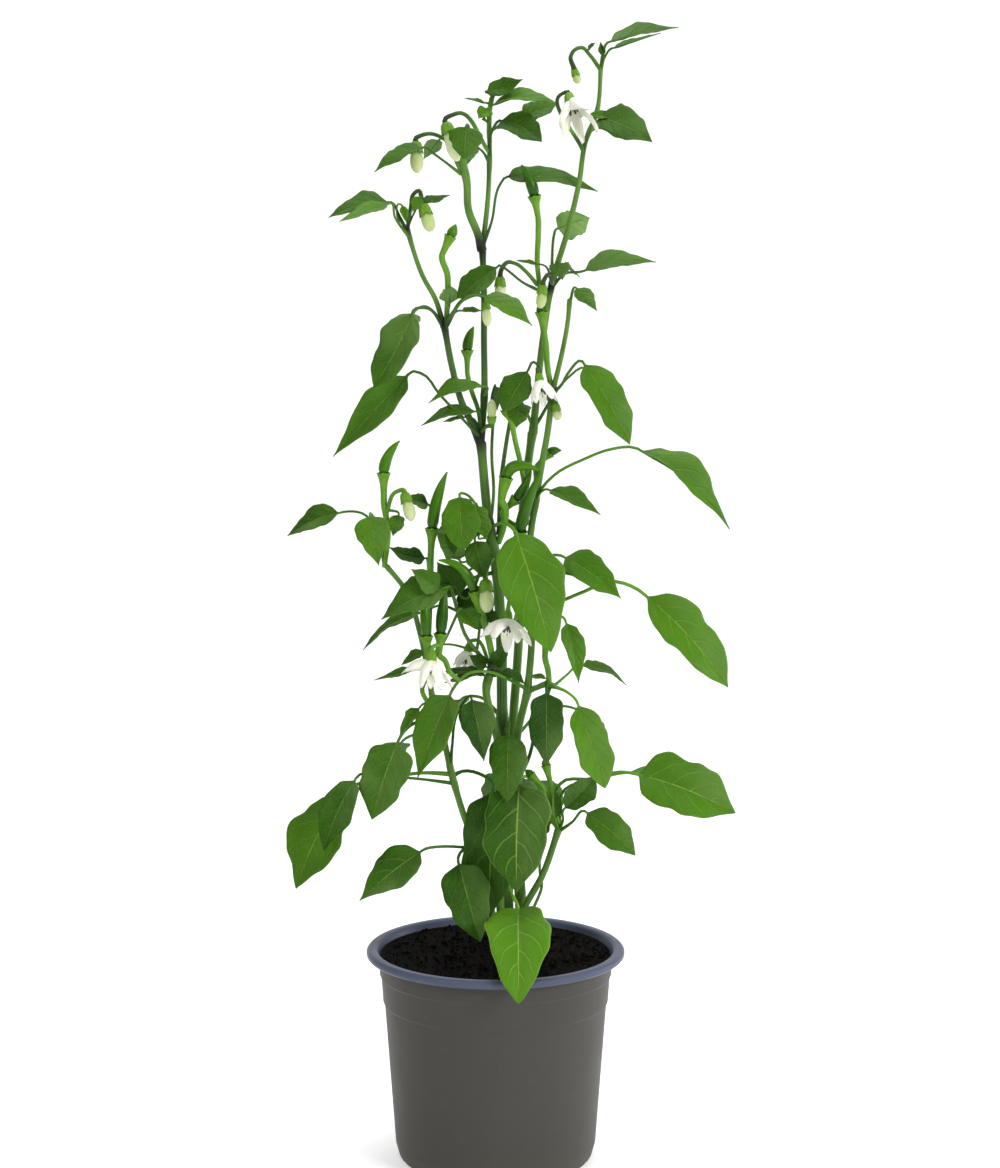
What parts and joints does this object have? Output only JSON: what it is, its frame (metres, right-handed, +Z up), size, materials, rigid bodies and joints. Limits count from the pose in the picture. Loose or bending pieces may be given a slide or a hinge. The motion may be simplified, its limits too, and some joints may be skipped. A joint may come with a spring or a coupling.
{
  "type": "potted chilli pepper plant",
  "caption": "Chilli pepper plant in a round stepped nursery pot: leafy branching stems with white nodding flowers, pale buds and young green pods.",
  "frame": {"origin": "centre of the underside of the pot, where it rests", "axes": "+Z up along the pot's axis, +X to the right and +Y away from someone who looks at the front of the plant"},
  "size_m": [0.2386, 0.1494, 0.6099],
  "materials": {
    "foliage": "satin green leaves with paler midribs, olive stems",
    "pod": "glossy, smooth green skin",
    "petal": "soft matt cream-white petals",
    "bud": "soft pale yellow-green",
    "stamen": "matt dark violet-grey anthers",
    "pot_plastic": "satin injection-moulded plastic, warm grey wall and cooler grey rim",
    "soil": "rough, crumbly, near-black potting soil of peat and bark"
  },
  "bodies": {
    "root": {"pot": "pot_plastic", "soil": "soil", "trunk_shoot": "foliage", "pod_1": "pod", "pod_2": "pod", "pod_3": "pod", "pod_4": "pod", "bud_1": "bud", "bud_2": "bud", "bud_3": "bud", "bud_4": "bud", "bud_5": "bud", "bud_6": "bud", "right_shoot": "foliage", "pod_5": "pod", "pod_6": "pod", "pod_7": "pod", "bud_7": "bud", "bud_8": "bud", "bud_9": "bud", "flower_1_corolla": "petal", "flower_1_stamens": "stamen", "inner_shoot": "foliage", "pod_8": "pod", "pod_9": "pod", "pod_10": "pod", "pod_11": "pod", "bud_10": "bud", "flower_2_corolla": "petal", "flower_2_stamens": "stamen", "centre_shoot": "foliage", "pod_12": "pod", "flower_3_corolla": "petal", "flower_3_stamens": "stamen", "flower_4_corolla": "petal", "flower_4_stamens": "stamen", "left_shoot": "foliage", "pod_13": "pod", "pod_14": "pod", "pod_15": "pod", "bud_11": "bud", "flower_5_corolla": "petal", "flower_5_stamens": "stamen", "low_shoot": "foliage", "pod_16": "pod", "pod_17": "pod"}
  },
  "joints": []
}
